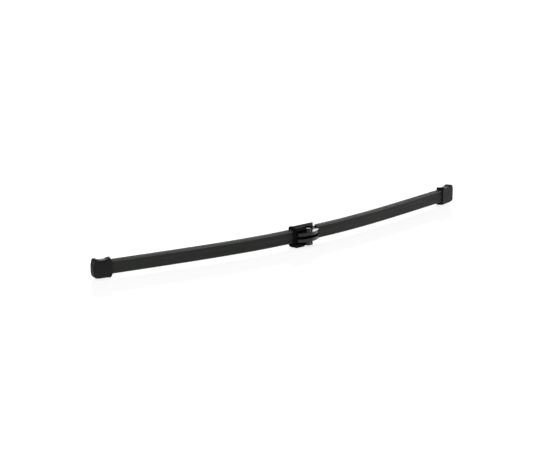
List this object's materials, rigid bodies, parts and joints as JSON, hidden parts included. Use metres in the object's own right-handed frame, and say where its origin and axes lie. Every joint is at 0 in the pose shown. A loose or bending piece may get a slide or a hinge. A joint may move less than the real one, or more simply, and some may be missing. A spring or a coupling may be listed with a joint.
{
  "type": "wiper blade",
  "caption": "Flat bow-shaped rear wiper blade on spring rails, with a rubber lip, clip-on cover strips, end caps and a trunnion connector for the wiper arm.",
  "frame": {"origin": "middle of the pivot axis, halfway between the two trunnions", "axes": "+X along the blade, +Y towards the glass side, +Z across the blade's width along the pivot axis; the blade lies on its side"},
  "size_m": [0.3976, 0.0447, 0.0178],
  "materials": {
    "wiping_rubber": "matte graphite-coated",
    "cover_rubber": "matte extruded",
    "cap_plastic": "fine moulded grain",
    "adapter_plastic": "semi-gloss",
    "spring_steel": "bare rolled",
    "bracket_steel": "zinc plated"
  },
  "bodies": {
    "root": {"wiping_rubber": "wiping_rubber", "rail_upper": "spring_steel", "rail_lower": "spring_steel", "cover_left": "cover_rubber", "cover_right": "cover_rubber", "end_cap_left": "cap_plastic", "end_cap_right": "cap_plastic", "rail_bracket": "bracket_steel", "carrier": "cap_plastic", "adapter": "adapter_plastic"}
  },
  "joints": []
}
